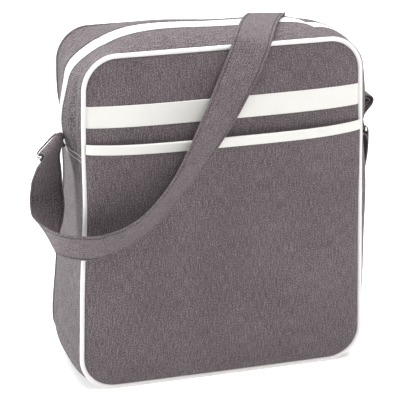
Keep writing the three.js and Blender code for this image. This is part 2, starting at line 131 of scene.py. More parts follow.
def skin(run, sign, y, lift=0.0):
    # gusset: the outline carried from front to back, plus a lift along its normal; between the seams it
    # arches over the top, dips at the top corners, swells at the flanks and left heel, and lies flat below
    v = y / deep
    x, z, nx, nz = rim(run)
    up, down = np.clip(nz, 0, 1), np.clip(-nz, 0, 1)
    along = sign * np.clip(x / runTop, 0, 1)
    end = np.where(sign < 0, bag["leftEnd"], bag["rightEnd"])
    lean = np.where(sign < 0, bag["leftLean"], bag["rightLean"])
    arch = np.where(up > 0.999, (bag["topArch"] - lean * along) * (1 - np.abs(along) ** end), 0)
    drop = np.where(sign < 0, bag["leftDip"], bag["rightDip"])
    dip = -drop * np.sin(2 * np.arcsin(up)) * up * (nx > 0.001)
    bulge = sum(np.where(sign == side, rise * bump(z, height, spread) * bump(y, at, wide), 0)
                for side, height, spread, rise, at, wide in bag["flankSwell"])
    flank = np.maximum(nx, 0) ** 2 * bulge
    rest = floorSeam * down ** 2 * np.minimum(1, bag["floorRush"] * (1 - v ** 4))
    swell = (arch + dip) * (1 - np.abs(v) ** bag["archPower"]) + flank * (1 - v ** 4) + rest + lift
    heel = np.where(sign < 0, bag["heelSwell"], 0) * np.sin(2 * np.arcsin(down)) * (1 - v ** 4)
    px = sign * (sideways(x, z, sign, v) + nx * swell + heel)
    return np.stack(np.broadcast_arrays(px, y, z + nz * swell - sag(sign * x, z, v)), -1)


def softness(a, b, size):
    # slow unevenness of cloth: three crossed sine waves of unlike lengths, about -1 to 1
    one = np.sin(a / size + 0.6) * np.sin(b / size * 0.83 + 1.9)
    two = np.sin(a / size * 1.7 - b / size * 0.9 + 2.4)
    three = np.sin(a / size * 0.5 + b / size * 2.1 + 4.2)
    return 0.5 * one + 0.3 * two + 0.2 * three


def lattice(rows, cols, wrapRows=False, wrapCols=False):
    # corner numbers of every cell of a grid, with each corner's row and column before wrapping
    r, c = np.meshgrid(np.arange(rows - (not wrapRows)), np.arange(cols - (not wrapCols)), indexing="ij")
    cr = np.stack([r, r, r + 1, r + 1], -1).reshape(-1, 4)
    cc = np.stack([c, c + 1, c + 1, c], -1).reshape(-1, 4)
    return (cr % rows) * cols + cc % cols, cr, cc


def addPiece(name, points, faces, uv, finish, slot, *nodes):
    # closed mesh from arrays, turned outwards by the sign of its volume
    pts = points.reshape(-1, 3)
    a, b, c, d = (pts[faces[:, k]] for k in range(4))
    volume = np.sum(a * (np.cross(b, c) + np.cross(c, d)))
    if volume < 0:
        faces, uv = faces[:, ::-1], uv[:, ::-1]
    mesh = bpy.data.meshes.new(name)
    mesh.vertices.add(len(pts))
    mesh.vertices.foreach_set("co", (pts * toMetres).astype(np.float32).ravel())
    mesh.loops.add(faces.size)
    mesh.loops.foreach_set("vertex_index", faces.astype(np.int32).ravel())
    mesh.polygons.add(len(faces))
    mesh.polygons.foreach_set("loop_start", np.arange(0, faces.size, 4, dtype=np.int32))
    layer = mesh.uv_layers.new(name="weave")
    layer.data.foreach_set("uv", (uv * toMetres).astype(np.float32).ravel())
    mesh.update(calc_edges=True)
    mesh.validate()
    mesh.shade_smooth()
    mesh.set_sharp_from_angle(angle=sharpTurn)
    mesh.materials.append(finish)
    piece = bpy.data.objects.new(name, mesh)
    scene.collection.objects.link(piece)
    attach(piece, "root")
    if nodes:
        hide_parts(*nodes)


def addShell(name, outer, inner, uv, finish, slot, *nodes):
    # two like grids, an outer and an inner face, joined by a wall round their borders
    rows, cols = outer.shape[:2]
    count = rows * cols
    faces = lattice(rows, cols)[0]
    number = np.arange(count).reshape(rows, cols)
    edge = np.concatenate([number[0, :-1], number[:-1, -1], number[-1, :0:-1], number[:0:-1, 0]])
    after = np.roll(edge, -1)
    walls = np.stack([after, edge, edge + count, after + count], -1)
    faces = np.vstack([faces, faces[:, ::-1] + count, walls])
    points = np.concatenate([outer.reshape(-1, 3), inner.reshape(-1, 3)])
    addPiece(name, points, faces, np.tile(uv.reshape(-1, 2), (2, 1))[faces], finish, slot, *nodes)


def lids(rows, cols):
    # faces that shut the first and the last of a row of closed sections: rungs between opposite points
    k = np.arange(cols // 2 - 1)
    first = np.stack([k + 1, k, cols - 1 - k, cols - 2 - k], -1)
    last = np.stack([k, k + 1, cols - 2 - k, cols - 1 - k], -1) + (rows - 1) * cols
    return np.vstack([first, last])


def lengths(line):
    # length along a line up to each of its points
    return np.concatenate([[0], np.cumsum(np.linalg.norm(np.diff(line, axis=0), axis=1))])


def circle(sides):
    # even angles once round
    return np.arange(sides) / sides * 2 * math.pi


def addTube(name, sections, closed, finish, slot, *nodes):
    # rows of closed sections, joined end to end or shut by lids
    rows, cols = sections.shape[:2]
    faces, cr, cc = lattice(rows, cols, closed, True)
    around = lengths(np.vstack([sections[0], sections[0][:1]]))
    middle = sections.mean(1)
    along = lengths(np.vstack([middle, middle[:1]]) if closed else middle)
    uv = np.stack([around[cc], along[cr]], -1)
    if not closed:
        ends = lids(rows, cols)
        faces = np.vstack([faces, ends])
        uv = np.concatenate([uv, np.zeros((*ends.shape, 2))])
    addPiece(name, sections, faces, uv, finish, slot, *nodes)


def resample(path, *others, step):
    # the same line in even steps of its length, and what goes along with it
    length = lengths(path)
    at = np.linspace(0, length[-1], max(2, int(round(length[-1] / step)) + 1))
    return [np.stack([np.interp(at, length, line[:, k]) for k in range(3)], -1) for line in (path, *others)]


def throughPoints(points, each, power=0.5):
    # curve through points, every stretch a blend of the parabolas over its neighbours
    # power 0.5 spaces the knots by the root of their distance, power 0 evenly
    p = np.vstack([2 * points[0] - points[1], points, 2 * points[-1] - points[-2]])
    p0, p1, p2, p3 = (p[k:len(p) - 3 + k, None] for k in range(4))
    gap = lambda a, b: np.maximum(np.linalg.norm(b - a, axis=-1, keepdims=True), 1e-6) ** power
    t1 = gap(p0, p1)
    t2 = t1 + gap(p1, p2)
    t3 = t2 + gap(p2, p3)
    t = t1 + (t2 - t1) * np.linspace(0, 1, each, endpoint=False)[None, :, None]
    mix = lambda a, b, ta, tb: ((tb - t) * a + (t - ta) * b) / (tb - ta)
    a1, a2, a3 = mix(p0, p1, 0 * t1, t1), mix(p1, p2, t1, t2), mix(p2, p3, t2, t3)
    curve = mix(mix(a1, a2, 0 * t1, t2), mix(a2, a3, t1, t3), t1, t2)
    return np.vstack([curve.reshape(-1, 3), points[-1:]])


stitch = {
    "pitch": 3.2,
    "lead": 0.13, "fill": 0.74,        # shares of the pitch: before the first stitch, and a stitch's length
    "girth": (0.45, 0.9, 1.0, 0.9, 0.45), "sides": 6,
    "sunk": 0.75, "flat": 0.8,
}


def addStitches(name, rows, finish, slot, radius, pitch=stitch["pitch"]):
    # every stitch is a short bead along its row: a ring of points carried along it, thin at both ends
    spread = np.array(stitch["girth"])
    rings, sides = len(spread), stitch["sides"]
    angle = circle(sides)
    beads = []
    for path, normal in rows:
        length = lengths(path)
        count = int(length[-1] // pitch)
        start = (np.arange(count) + stitch["lead"])[:, None] * pitch
        t = start + np.linspace(0, stitch["fill"] * pitch, rings)[None]
        at = lambda line: np.stack([np.interp(t, length, line[:, k]) for k in range(3)], -1)
        centre, out = at(path), unit(at(normal))
        side = unit(np.cross(np.gradient(centre, axis=1), out))
        lift = radius * (spread - stitch["sunk"])
        swing = np.cos(angle)[:, None] * side[:, :, None]
        swing = swing + stitch["flat"] * np.sin(angle)[:, None] * out[:, :, None]
        beads.append((centre + out * lift[:, None])[:, :, None] + swing * (radius * spread)[:, None, None])
    points = np.concatenate(beads)
    one = np.vstack([lattice(rings, sides, False, True)[0], lids(rings, sides)])
    faces = (one[None] + np.arange(len(points))[:, None, None] * rings * sides).reshape(-1, 4)
    flat = points.reshape(-1, 3)
    addPiece(name, points, faces, flat[faces][..., :2], finish, slot)


def newFinish(name):
    # a plain surface with its node tree and shader
    finish = bpy.data.materials.new(name)
    finish.use_nodes = True
    return finish, finish.node_tree, finish.node_tree.nodes["Principled BSDF"]


def setInputs(node, values):
    # plain values for a node's inputs
    for key, value in values.items():
        node.inputs[key].default_value = value


def put(tree, kind, inputs=None, **settings):
    # a new node with its settings and input values
    node = tree.nodes.new(kind)
    for key, value in settings.items():
        setattr(node, key, value)
    setInputs(node, inputs or {})
    return node


def mixture(tree, first, share, second=None):
    # first times share, plus second if there is one
    node = put(tree, "ShaderNodeMath", {1: share, 2: 0.0}, operation="MULTIPLY_ADD")
    tree.links.new(first, node.inputs[0])
    if second is not None:
        tree.links.new(second, node.inputs[2])
    return node.outputs[0]


def scaled(tree, across, along):
    # the piece's own cloth coordinates, in cells of the given size in millimetres
    coords = put(tree, "ShaderNodeUVMap", uv_map="weave")
    size = put(tree, "ShaderNodeMapping", {"Scale": (perMetre / across, perMetre / along, 1)})
    tree.links.new(coords.outputs[0], size.inputs[0])
    return size.outputs[0]


def clothNoise(tree, across, along, detail):
    # cloudy noise over the cloth, in cells of the given size
    node = put(tree, "ShaderNodeTexNoise", {"Scale": 1.0, "Detail": detail, "Roughness": 0.6},
               noise_dimensions="2D")
    tree.links.new(scaled(tree, across, along), node.inputs["Vector"])
    return node.outputs["Fac"]


def toneRamp(tree, shader, value, places, colours):
    # base colour by a value, blended between colours at rising places
    ramp = put(tree, "ShaderNodeValToRGB")
    stops = ramp.color_ramp.elements
    stops[0].position, stops[1].position = places[0], places[-1]
    for place in places[1:-1]:
        stops.new(place)
    for stop, colour in zip(stops, colours):
        stop.color = (*colour, 1)
    tree.links.new(value, ramp.inputs[0])
    tree.links.new(ramp.outputs[0], shader.inputs["Base Color"])


def relief(tree, shader, height, strength, depth):
    # fine bumps from a height
    dent = put(tree, "ShaderNodeBump", {"Strength": strength, "Distance": depth})
    tree.links.new(height, dent.inputs["Height"])
    tree.links.new(dent.outputs[0], shader.inputs["Normal"])


canvasLook = {
    "dark": (0.053, 0.041, 0.045), "middle": (0.117, 0.095, 0.1015), "light": (0.26, 0.222, 0.233),
    # the strap's gain paints light: the strap's canvas is made lighter than the bag's, for the light the
    # strap catches
    # the welt's gain paints light: the back welt's canvas is made much lighter, to cancel the shade beside
    # it
    "stops": (0.36, 0.5, 0.68), "strapPaintedLight": 1.1, "weltPaintedLight": 1.5,
    # cell sizes in millimetres, and each noise's share
    "streak": (0.8, 13.0), "fleck": (1.0, 1.3), "broad": (60, 90),
    "streakShare": 0.34, "fleckShare": 0.6, "broadShare": 0.06,
    "twillPitch": 0.9, "twillScale": 0.628, "twillBreak": 0.6, "fleckRise": 1.4,
    "bumpStrength": 0.5, "bumpDepth": 0.0005,
    "rough": 0.92, "sheen": 0.12, "sheenRough": 0.5, "shine": 0.2,
}


def canvasFinish(name, gain):
    # mottled twill: long streaks along the warp and short flecks pick from a dark to light ramp,
    # over a fine diagonal rib
    finish, tree, shader = newFinish(name)
    look = canvasLook
    streak = clothNoise(tree, *look["streak"], detail=2)
    fleck = clothNoise(tree, *look["fleck"], detail=1)
    broad = clothNoise(tree, *look["broad"], detail=1)
    value = mixture(tree, streak, look["streakShare"])
    value = mixture(tree, fleck, look["fleckShare"], value)
    value = mixture(tree, broad, look["broadShare"], value)
    # a gain above 1 paints light: lighter copies of this canvas for the strap and the back welt
    tones = [[min(1, c * gain) for c in look[tone]] for tone in ("dark", "middle", "light")]
    toneRamp(tree, shader, value, look["stops"], tones)
    ribInputs = {"Scale": look["twillScale"], "Distortion": look["twillBreak"], "Detail": 1.0}
    rib = put(tree, "ShaderNodeTexWave", ribInputs, wave_type="BANDS", bands_direction="DIAGONAL")
    tree.links.new(scaled(tree, look["twillPitch"], look["twillPitch"]), rib.inputs["Vector"])
    height = mixture(tree, fleck, look["fleckRise"], rib.outputs["Fac"])
    relief(tree, shader, height, look["bumpStrength"], look["bumpDepth"])
    setInputs(shader, {"Roughness": look["rough"], "Sheen Weight": look["sheen"],
                       "Sheen Roughness": look["sheenRough"], "Specular IOR Level": look["shine"]})
    return finish


coatedLook = {
    "toneSize": (45, 30), "stops": (0.3, 0.7), "shade": 0.965,
    "bumpStrength": 0.25, "shine": 0.35,
}


def coatedFinish(name, colour, rough, grain, depth):
    # smooth coated cloth: fine leathery grain in the relief, and a faint unevenness of tone
    finish, tree, shader = newFinish(name)
    look = coatedLook
    tone = clothNoise(tree, *look["toneSize"], detail=2)
    toneRamp(tree, shader, tone, look["stops"], [[c * look["shade"] for c in colour], colour])
    cells = put(tree, "ShaderNodeTexVoronoi", {"Scale": 1.0}, voronoi_dimensions="2D", feature="SMOOTH_F1")
    tree.links.new(scaled(tree, grain, grain), cells.inputs["Vector"])
    relief(tree, shader, cells.outputs["Distance"], look["bumpStrength"], depth)
    setInputs(shader, {"Roughness": rough, "Specular IOR Level": look["shine"]})
    return finish


tapeLook = {
    "toneSize": (1.2, 3.0), "stops": (0.25, 0.75), "shade": 0.95,
    "ribPitch": 0.8, "ribScale": 0.314, "ribBreak": 0.3,
    "bumpStrength": 0.3, "bumpDepth": 0.0002, "rough": 0.8,
}


def tapeFinish(name, colour):
    # woven zip tape: fine ribs across it, broken by a little noise
    finish, tree, shader = newFinish(name)
    look = tapeLook
    tone = clothNoise(tree, *look["toneSize"], detail=2)
    toneRamp(tree, shader, tone, look["stops"], [[c * look["shade"] for c in colour], colour])
    ribInputs = {"Scale": look["ribScale"], "Distortion": look["ribBreak"]}
    rib = put(tree, "ShaderNodeTexWave", ribInputs, wave_type="BANDS", bands_direction="Y")
    tree.links.new(scaled(tree, look["ribPitch"], look["ribPitch"]), rib.inputs["Vector"])
    relief(tree, shader, rib.outputs["Fac"], look["bumpStrength"], look["bumpDepth"])
    setInputs(shader, {"Roughness": look["rough"]})
    return finish


metalLook = {"markScale": 900.0, "smoothest": 0.1, "roughest": 0.28}


def metalFinish(name, colour):
    # bright plating with faint polishing marks in its gloss
    finish, tree, shader = newFinish(name)
    look = metalLook
    coords = put(tree, "ShaderNodeTexCoord")
    marks = put(tree, "ShaderNodeTexNoise", {"Scale": look["markScale"], "Detail": 2.0})
    tree.links.new(coords.outputs["Object"], marks.inputs["Vector"])
    span = put(tree, "ShaderNodeMapRange", {"To Min": look["smoothest"], "To Max": look["roughest"]})
    tree.links.new(marks.outputs["Fac"], span.inputs["Value"])
    tree.links.new(span.outputs[0], shader.inputs["Roughness"])
    setInputs(shader, {"Base Color": (*colour, 1), "Metallic": 1.0})
    return finish


canvas = canvasFinish("mottledCanvas", 1.0)
# painted light: the strap's canvas is a lighter copy of the bag's canvas
litStrapCanvas = canvasFinish("mottledStrapCanvasPaintedLight", canvasLook["strapPaintedLight"])
# painted light: the back welt's canvas is a much lighter copy, against the shade it lies in
litWeltCanvas = canvasFinish("mottledWeltCanvasPaintedLight", canvasLook["weltPaintedLight"])
whiteTrim = coatedFinish("whiteCoatedCloth", (0.695, 0.68, 0.65), rough=0.42, grain=0.7, depth=0.00012)
pipingTrim = coatedFinish("whitePipingCover", (0.74, 0.715, 0.71), rough=0.4, grain=0.6, depth=0.0001)
zipTape = tapeFinish("whiteZipTape", (0.68, 0.655, 0.665))
coilWhite = coatedFinish("whiteZipCoil", (0.7, 0.69, 0.69), rough=0.38, grain=0.5, depth=0.00005)
brightMetal = metalFinish("brightPlating", (0.62, 0.615, 0.6))
whiteThread = tapeFinish("whiteThread", (0.7, 0.69, 0.67))
greyThread = tapeFinish("greyThread", (0.03, 0.026, 0.027))
print("finishes made")


faces = {
    "frontCrown": 13, "backCrown": 8,
    "tuck": 1.4,                       # how far a face's edge goes in under the piping
    "rows": 150, "cols": 132, "sideCrowd": 0.18,
    "softSize": 38, "softRise": 0.45, "backSeed": 90,
    # depth and spread of the dip along the seam
    "frontDip": (1.8, 3.4), "backDip": (0.5, 4),
}


def crown(share, z, rise):
    # full in the middle, falling by fourth powers to nothing at the seam
    level = np.clip((z - floorSeam) / bag["seamHeight"], 0, 1)
    return rise * (1 - np.abs(share) ** 4) * (1 - np.abs(2 * level - 1) ** 4)


def seamDistance(x, z):
    # distance inwards from the rounded outline of the seam
    up = z - floorSeam - bag["seamHeight"] / 2
    radius = np.where(up > 0, bag["topRadius"], bag["bottomRadius"])
    qx = np.abs(x) - half + radius
    qz = np.abs(up) - bag["seamHeight"] / 2 + radius
    outside = np.hypot(np.maximum(qx, 0), np.maximum(qz, 0)) + np.minimum(np.maximum(qx, qz), 0)
    return radius - outside


def facePoint(share, run, inset, v, rise, out):
    # a face row by row: half width and height from the outline, crown and offset along y
    x, z, nx, nz = rim(run)
    flatX = share * (x - nx * inset)
    z = z - nz * inset
    sign = np.where(share < 0, -1, 1)
    px = sign * sideways(np.abs(flatX), z, sign, v)
    lift = out(share, z, seamDistance(flatX, z))
    y = v * (deep + crown(share, z, rise) + lift)
    points = np.stack(np.broadcast_arrays(px, y, z - sag(flatX, z, v)), -1)
    return points, np.stack(np.broadcast_arrays(flatX, z), -1)


def unevenFace(share, z, seed):
    # slow waves that die away towards the seam
    return faces["softRise"] * softness(share * half + seed, z, faces["softSize"]) * (1 - share ** 4)


def evenRuns(first, last, count):
    # rows at even steps of the run
    return np.linspace(first, last, count)[:, None]


def evenShares(count):
    # closer together towards both sides: a line less part of its cube
    t = np.linspace(-1, 1, count)
    crowd = faces["sideCrowd"]
    return (t * (1 + crowd - crowd * t * t))[None]


def faceOut(share, z, d, dip, seed):
    # half the cloth's thickness, less a bell shaped dip along the seam, plus the slow waves
    drop, spread = dip
    return bag["panelThick"] / 2 - drop * bump(d, 0, spread) + unevenFace(share, z, seed)


def frontFace(shares, runs, out):
    # points of the front face, or of a layer on it, with their cloth coordinates
    return facePoint(shares, runs, faces["tuck"], -1, faces["frontCrown"], out)


frontOut = lambda share, z, d: faceOut(share, z, d, faces["frontDip"], 0)
faceRuns = evenRuns(runBottom, runHalf - runTop, faces["rows"])
faceShares = evenShares(faces["cols"])
outer, uv = frontFace(faceShares, faceRuns, frontOut)
inner = outer + np.array([0, bag["panelThick"], 0])
addShell("frontPanelCloth", outer, inner, uv, canvas, "canvas", "front_panel")

backOut = lambda share, z, d: faceOut(share, z, d, faces["backDip"], faces["backSeed"])
outer, uv = facePoint(faceShares, faceRuns, faces["tuck"], 1, faces["backCrown"], backOut)
inner = outer - np.array([0, bag["panelThick"], 0])
addShell("backPanelCloth", outer, inner, uv, canvas, "canvas", "back_panel")
print("front and back faces made")


pocket = {
    "top": 287.8, "sideGap": 1.9, "gape": 5, "fade": 150, "fit": 0.35,
    "seamDrop": 3.0, "seamSpread": 4.2, "mouthEase": 0.5,
    "rows": 120, "weaveShift": (37, 11),
    "bindingLow": 278.6, "bindingHigh": 289.1, "bindingThick": 0.8, "bindingFit": 0.25,
    "bindingLegs": 10, "bindingTurn": 9, "bindingSteps": 260,
    "stitchIn": 1.6, "stitchRadius": 0.26, "stitchReach": 0.985, "stitchSteps": 400,
}


def pocketIn(share, z, d):
    # gap behind the pocket: opens towards the mouth, widest in the middle, and closes into the seam
    rise = ease((z - pocket["fade"]) / (pocket["top"] - pocket["fade"]))
    gap = pocket["fit"] + (pocket["sideGap"] + pocket["gape"] * (1 - share ** 4)) * rise
    drop = pocket["seamDrop"] * bump(d, 0, pocket["seamSpread"]) * (1 - pocket["mouthEase"] * rise)
    return bag["panelThick"] / 2 + gap - drop + unevenFace(share, z, 0)


pocketRuns = evenRuns(runBottom, runAtHeight(pocket["top"]), pocket["rows"])
pocketOut = lambda share, z, d: pocketIn(share, z, d) + bag["panelThick"]
outer, uv = frontFace(faceShares, pocketRuns, pocketOut)
inner = frontFace(faceShares, pocketRuns, pocketIn)[0]
uv = uv + np.array(pocket["weaveShift"])
addShell("frontPocketCloth", outer, inner, uv, canvas, "canvas", "front_pocket")


def bindingProfile():
    # tape folded over an edge: front leg, half circle, back leg, then the same inside
    # columns are the distance outwards and the height
    thick, clear, count = pocket["bindingThick"], pocket["bindingFit"], pocket["bindingLegs"]
    middle = bag["panelThick"] / 2
    outerR = middle + clear + thick
    innerR = middle + clear
    top = pocket["bindingHigh"] - outerR
    legs = np.linspace(pocket["bindingLow"], top, count)
    turn = np.linspace(0, math.pi, pocket["bindingTurn"] + 2)[1:-1]
    side = lambda radius: np.vstack([
        np.stack([np.full(count, middle + radius), legs], -1),
        np.stack([middle + radius * np.cos(turn), top + radius * np.sin(turn)], -1),
        np.stack([np.full(count, middle - radius), legs[::-1]], -1)])
    return np.vstack([side(outerR), side(innerR)[::-1]])


profile = bindingProfile()
bindShares = evenShares(pocket["bindingSteps"]).ravel()[:, None]
bindRuns = runAtHeight(profile[:, 1])[None]
bindOut = lambda share, z, d: pocketIn(share, z, d) + profile[:, 0][None]
points = frontFace(bindShares, bindRuns, bindOut)[0]
addTube("pocketBindingTape", points, False, whiteTrim, "white_trim", "pocket_binding")


def faceLine(z, out):
    # a level line across the front, with its outward direction
    shares = np.linspace(-pocket["stitchReach"], pocket["stitchReach"], pocket["stitchSteps"])
    line = frontFace(shares, np.full_like(shares, runAtHeight(z)), out)[0].reshape(-1, 3)
    return line, np.tile([0.0, -1.0, 0.0], (len(line), 1))


bindFace = lambda share, z, d: pocketOut(share, z, d) + pocket["bindingFit"] + pocket["bindingThick"]
bindLine = faceLine(pocket["bindingLow"] + pocket["stitchIn"], bindFace)
addStitches("bindingStitches", [bindLine], whiteThread, "white_trim", pocket["stitchRadius"])


stripe = {
    "low": 306.5, "high": 330, "thick": 0.9, "edge": 0.45, "over": 0.12, "under": 0.05,
    "edgeRows": (0, 0.08, 0.25, 0.5), "inside": 1.2, "rows": 26,
    "stitchIn": 1.8, "stitchRadius": 0.24,
}
low, high, inside = stripe["low"], stripe["high"], stripe["inside"]
edgeRows = np.array(stripe["edgeRows"])
rowsZ = np.linspace(low + inside, high - inside, stripe["rows"])
rowsZ = np.concatenate([low + edgeRows, rowsZ, high - edgeRows[::-1]])
inset = np.minimum(rowsZ - low, high - rowsZ)
plump = (stripe["thick"] * np.sqrt(1 - np.clip(1 - inset / stripe["edge"], 0, 1) ** 2))[:, None]
stripeFace = lambda share, z, d: frontOut(share, z, d) + stripe["over"] + stripe["thick"]
stripeOuter = lambda share, z, d: frontOut(share, z, d) + stripe["over"] + plump
stripeInner = lambda share, z, d: frontOut(share, z, d) + stripe["under"]
stripeRuns = runAtHeight(rowsZ)[:, None]
outer, uv = frontFace(faceShares, stripeRuns, stripeOuter)
inner = frontFace(faceShares, stripeRuns, stripeInner)[0]
addShell("frontStripeBand", outer, inner, uv, whiteTrim, "white_trim", "front_stripe")
stripeLines = [faceLine(z, stripeFace) for z in (low + stripe["stitchIn"], high - stripe["stitchIn"])]
addStitches("stripeStitches", stripeLines, whiteThread, "white_trim", stripe["stitchRadius"])
print("pocket, binding and stripe made")


piping = {"frontRadius": 2.6, "backRadius": 1.5, "sides": 14, "steps": 300, "lump": 0.035, "lumpSize": 9}


def weltSections(v, radius):
    # a circle carried round the seam, very slightly uneven along it
    up = np.linspace(0, runHalf, piping["steps"])
    run = np.concatenate([up, up[-2:0:-1]])[:, None]
    sign = np.concatenate([np.ones(len(up)), -np.ones(len(up) - 2)])[:, None]
    x, z, nx, nz = rim(run)
    a = circle(piping["sides"])[None]
    r = radius * (1 + piping["lump"] * softness(run * sign, 3 * run, piping["lumpSize"]))
    out = r * np.cos(a)
    px = sign * (sideways(x, z, sign, v) + nx * out)
    pz = z + nz * out - sag(sign * x, z, v)
    return np.stack(np.broadcast_arrays(px, v * deep + r * np.sin(a), pz), -1)


sections = weltSections(-1, piping["frontRadius"])
addTube("frontPipingCord", sections, True, pipingTrim, "white_trim", "piping_front")
sections = weltSections(1, piping["backRadius"])
# the back welt wears the much lighter canvas, which is painted light against its shade
addTube("backPipingCord", sections, True, litWeltCanvas, "canvas", "piping_back")
print("piping made")


gusset = {
    "edge": 62.8, "seamValley": 1.6, "backValley": 0.2, "valleySpread": 4.5,
    # heights below which the gusset has no valleys, and up to which its waves die away
    "valleyFoot": 4, "softFoot": 30, "softRise": 0.55, "softSize": 27,
    # side, depth place, height, spread in depth, spread in height, rise: single dents and folds
    "folds": [
        (-1, -50, 318, 4.5, 34, 1.5), (-1, -41, 306, 4, 38, -1.2), (-1, -31, 314, 5, 34, 1.1),
        (-1, -22, 254, 7, 6, -1.8), (-1, -36, 250, 9, 14, 0.9), (-1, 40, 60, 12, 26, -2.0),
        (1, -44, 316, 6, 36, 1.2), (1, 20, 240, 16, 26, -1.4),
    ],
    "rows": 400, "cols": 62, "weaveAcross": 0.4,
}


def gussetLift(run, sign, y):
    # valleys beside the seams, slow waves, and a list of bell shaped dents
    z = rim(run)[1]
    deepest = np.where(y < 0, gusset["seamValley"], gusset["backValley"])
    valley = -deepest * bump(deep - np.abs(y), 0, gusset["valleySpread"])
    waves = gusset["softRise"] * softness(run * sign, y, gusset["softSize"]) * (1 - (y / deep) ** 4)
    waves = waves * ease(z / gusset["softFoot"])
    dents = sum(np.where(sign == side, rise * bump(y, at, wide) * bump(z, height, tall), 0)
                for side, at, height, wide, tall, rise in gusset["folds"])
    return np.where(z < gusset["valleyFoot"], 0, valley) + waves + dents


def addSkinShell(name, run, sign, y, lift, thick, uv, finish, slot, node):
    # cloth over the gusset, its inner face one thickness lower
    outer = skin(run, sign, y, lift)
    inner = skin(run, sign, y, lift - thick)
    addShell(name, outer, inner, uv, finish, slot, node)


s = np.linspace(-runAtCross, runAtCross, gusset["rows"])[:, None]
sign = np.where(s < 0, -1, 1)
y = np.linspace(-gusset["edge"], gusset["edge"], gusset["cols"])[None]
lift = gussetLift(np.abs(s), sign, y)
uv = np.stack(np.broadcast_arrays(gusset["weaveAcross"] * y, s), -1)
addSkinShell("lowerGussetCloth", np.abs(s), sign, y, lift, bag["clothThick"], uv, canvas, "canvas",
             "lower_gusset")


zipper = {
    "cols": 26, "rows": 420, "crowd": 1.35, "endGap": 0.2, "weaveShift": (0, 900),
    "foldEdge": 0.5, "foldWide": 3.0, "foldRound": 0.8, "foldLeast": 0.05,
    "tapeCols": 14, "tapeSink": 0.1, "tapeThick": 0.8, "tapeUnder": 3, "tapeNear": 0.7,
    "tapeDrop": 1.6, "tapeSlope": 1.2,
    "coilHalf": 2.6, "coilRows": 3000, "coilSides": 14, "coilSink": 0.3,
    "coilTop": 0.15, "coilTopRise": 0.5, "coilFoot": -0.4, "coilFootRise": 0.9,
    "grooveDepth": 0.25, "grooveSpread": 0.5,
    "toothPitch": 1.5, "toothRise": 0.35, "toothPower": 0.6,
    "stitchIn": 2.6, "stitchSteps": 900, "stitchRadius": 0.24,
}


def topWay(count):
    # over the top from the left cross seam to the right one: run, side and length along it
    q = np.linspace(-1, 1, count)[:, None]
    reach = runHalf - runAtCross
    return runHalf - np.abs(q) * (reach - zipper["endGap"]), np.where(q < 0, -1, 1), q * reach


def topStrip(name, first, last, node):
    # strip between the seam and the zip, with a soft rolled fold along the zip
    run, sign, along = topWay(zipper["rows"])
    t = np.linspace(0, 1, zipper["cols"])
    y = (first + (last - first) * (1 - (1 - t) ** zipper["crowd"]))[None]
    away = np.abs(last - y)
    rolled = np.sqrt(np.clip(away / zipper["foldRound"], zipper["foldLeast"], 1))
    fold = zipper["foldEdge"] * ease(1 - away / zipper["foldWide"]) * rolled
    lift = gussetLift(run, sign, y) + fold
    uv = np.stack(np.broadcast_arrays(gusset["weaveAcross"] * y, along), -1)
    uv = uv + np.array(zipper["weaveShift"])
    addSkinShell(name, run, sign, y, lift, bag["clothThick"], uv, canvas, "canvas", node)


topStrip("topGussetFrontCloth", -gusset["edge"], -bag["zipHalf"], "top_gusset_front")
topStrip("topGussetBackCloth", gusset["edge"], bag["zipHalf"], "top_gusset_back")


def zipTapeStrip(name, side, node):
    # flat tape from the coil to the fold, going down in a step to lie under it
    run, sign, along = topWay(zipper["rows"])
    near = zipper["coilHalf"] * zipper["tapeNear"]
    y = side * np.linspace(near, bag["zipHalf"] + zipper["tapeUnder"], zipper["tapeCols"])[None]
    slope = zipper["tapeSlope"]
    under = -zipper["tapeDrop"] * ease((np.abs(y) - bag["zipHalf"] + slope) / slope)
    lift = -zipper["tapeSink"] + under
    uv = np.stack(np.broadcast_arrays(y, along), -1)
    addSkinShell(name, run, sign, y, lift, zipper["tapeThick"], uv, zipTape, "zip_tape", node)


zipTapeStrip("zipTapeFrontBand", -1, "zip_tape_front")
zipTapeStrip("zipTapeBackBand", 1, "zip_tape_back")


def coilSections():
    # low round ridge whose two halves rise and fall in turn, like a shut coil
    run, sign, along = topWay(zipper["coilRows"])
    a = circle(zipper["coilSides"])[None]
    y = zipper["coilHalf"] * np.cos(a)
    phase = 2 * math.pi * along / zipper["toothPitch"]
    swing = np.where(np.cos(a) > 0, np.sin(phase), -np.sin(phase))
    tooth = zipper["toothRise"] * swing * np.abs(np.cos(a)) ** zipper["toothPower"]
    high = np.sin(a) > 0
    groove = zipper["grooveDepth"] * bump(y, 0, zipper["grooveSpread"])
    lift = np.where(high, zipper["coilTop"] + tooth - groove, zipper["coilFoot"])
    lift = lift + np.sin(a) * np.where(high, zipper["coilTopRise"], zipper["coilFootRise"])
    return skin(run, sign, y, lift - zipper["coilSink"])


addTube("zipCoilRidge", coilSections(), False, coilWhite, "zip_coil", "zip_coil")


def skinLine(run, sign, y, lift):
    # a line on the gusset with its outward direction
    nx, nz = rim(run)[2:]
    line = skin(run, sign, y, lift).reshape(-1, 3)
    out = np.stack(np.broadcast_arrays(sign * nx, 0 * nx, nz), -1).reshape(-1, 3)
    return line, np.broadcast_to(out, line.shape)


def zipStitchLine(side):
    # a line on the fold beside the zip
    run, sign = topWay(zipper["stitchSteps"])[:2]
    y = np.full_like(run, side * (bag["zipHalf"] + zipper["stitchIn"]))
    rolled = zipper["foldEdge"] * ease(1 - zipper["stitchIn"] / zipper["foldWide"])
    return skinLine(run, sign, y, gussetLift(run, sign, y) + rolled)


zipLines = [zipStitchLine(-1), zipStitchLine(1)]
addStitches("zipEdgeStitches", zipLines, greyThread, "canvas", zipper["stitchRadius"])

